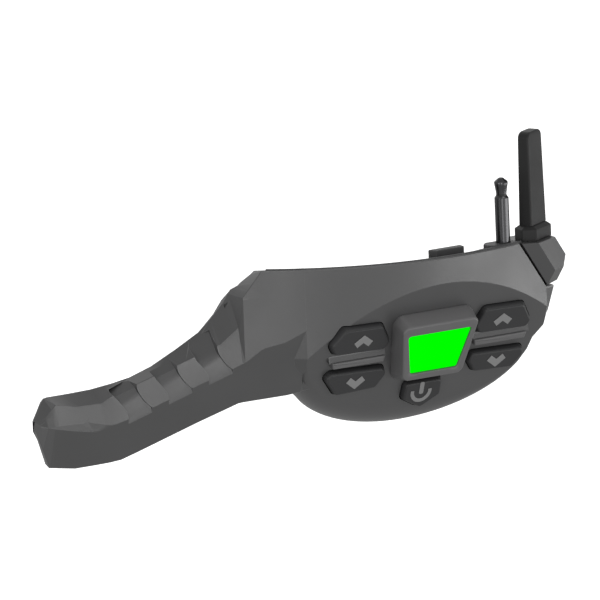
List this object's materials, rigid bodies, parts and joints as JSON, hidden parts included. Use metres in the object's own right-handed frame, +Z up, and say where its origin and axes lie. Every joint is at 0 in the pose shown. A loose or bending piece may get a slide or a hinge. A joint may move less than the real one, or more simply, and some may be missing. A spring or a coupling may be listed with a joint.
{
  "type": "plug-on two-way radio with microphone boom",
  "caption": "Plug-on two-way radio for an electronic earmuff: oval keypad with lit display, stub antenna, jack plug and faceted microphone boom.",
  "frame": {"origin": "on the jack plug axis, at the top face of the plug base, where the earmuff rests", "axes": "+Z up along the plug to its tip, +X to the rear along the housing, +Y inward to the wearer's head"},
  "size_m": [0.1346, 0.0397, 0.071],
  "materials": {
    "housing_grey": "matte, fine moulded grain",
    "bezel_grey": "matte, fine moulded grain",
    "shell_black": "matte, fine moulded grain",
    "antenna_rubber": "satin rubber",
    "key_rubber": "matte rubber",
    "screen_green": "clear window over a lit display",
    "module_white": "matte",
    "board_green": "solder mask",
    "tinned_steel": "tinned",
    "chip_black": "matte",
    "mat_silicone": "soft silicone",
    "antenna_brass": "plain",
    "cell_blue": "printed sleeve, plain",
    "dark_chrome": "dark polished",
    "insulator_black": "smooth",
    "grille_black": "matte",
    "lead_red": "smooth insulation",
    "screw_black": "black oxide"
  },
  "bodies": {
    "housing": {"outer_shell": "housing_grey", "inner_shell": "shell_black", "boom_cover": "shell_black", "antenna_pod": "housing_grey", "antenna_collar": "antenna_rubber", "antenna_sheath": "antenna_rubber", "antenna_core": "antenna_brass", "antenna_feed": "antenna_brass", "display_bezel": "bezel_grey", "display_lens": "screen_green", "display_module": "module_white", "backlight": "module_white", "main_board": "board_green", "shield_can": "tinned_steel", "audio_chip": "chip_black", "tact_switches": "tinned_steel", "key_mat": "mat_silicone", "panel_rib_left": "housing_grey", "panel_rib_right": "housing_grey", "battery_cell_upper": "cell_blue", "battery_cell_lower": "cell_blue", "battery_springs": "tinned_steel", "battery_contacts": "tinned_steel", "door_hinge_pin": "tinned_steel", "plug_boss": "shell_black", "plug_sleeve": "dark_chrome", "plug_insulator": "insulator_black", "plug_tip": "dark_chrome", "plug_seal": "mat_silicone", "latch_tab": "shell_black", "mic_capsule": "tinned_steel", "mic_boot": "mat_silicone", "mic_grille": "grille_black", "mic_lead": "lead_red", "boom_seal": "mat_silicone", "housing_screws": "screw_black", "boom_screws": "screw_black"},
    "key_left_up": {"key_left_up": "key_rubber"},
    "key_left_down": {"key_left_down": "key_rubber"},
    "key_right_up": {"key_right_up": "key_rubber"},
    "key_right_down": {"key_right_down": "key_rubber"},
    "power_key": {"power_key": "key_rubber"},
    "battery_door": {"battery_door": "shell_black"}
  },
  "joints": [
    {"name": "key_left_up_press", "type": "slide", "parent": "housing", "child": "key_left_up", "axis": [0, 0.9298, 0.3681], "range_m": [0, 0.0006], "stiffness_N_per_m": 800},
    {"name": "key_left_down_press", "type": "slide", "parent": "housing", "child": "key_left_down", "axis": [0, 0.9298, 0.3681], "range_m": [0, 0.0006], "stiffness_N_per_m": 800},
    {"name": "key_right_up_press", "type": "slide", "parent": "housing", "child": "key_right_up", "axis": [0, 0.9298, 0.3681], "range_m": [0, 0.0006], "stiffness_N_per_m": 800},
    {"name": "key_right_down_press", "type": "slide", "parent": "housing", "child": "key_right_down", "axis": [0, 0.9298, 0.3681], "range_m": [0, 0.0006], "stiffness_N_per_m": 800},
    {"name": "power_key_press", "type": "slide", "parent": "housing", "child": "power_key", "axis": [0, 0.9298, 0.3681], "range_m": [0, 0.0006], "stiffness_N_per_m": 800},
    {"name": "battery_door_hinge", "type": "hinge", "parent": "housing", "child": "battery_door", "pos_m": [-0.022, 0.02, -0.0284], "axis": [-1, 0, 0], "range_deg": [0, 90]}
  ]
}
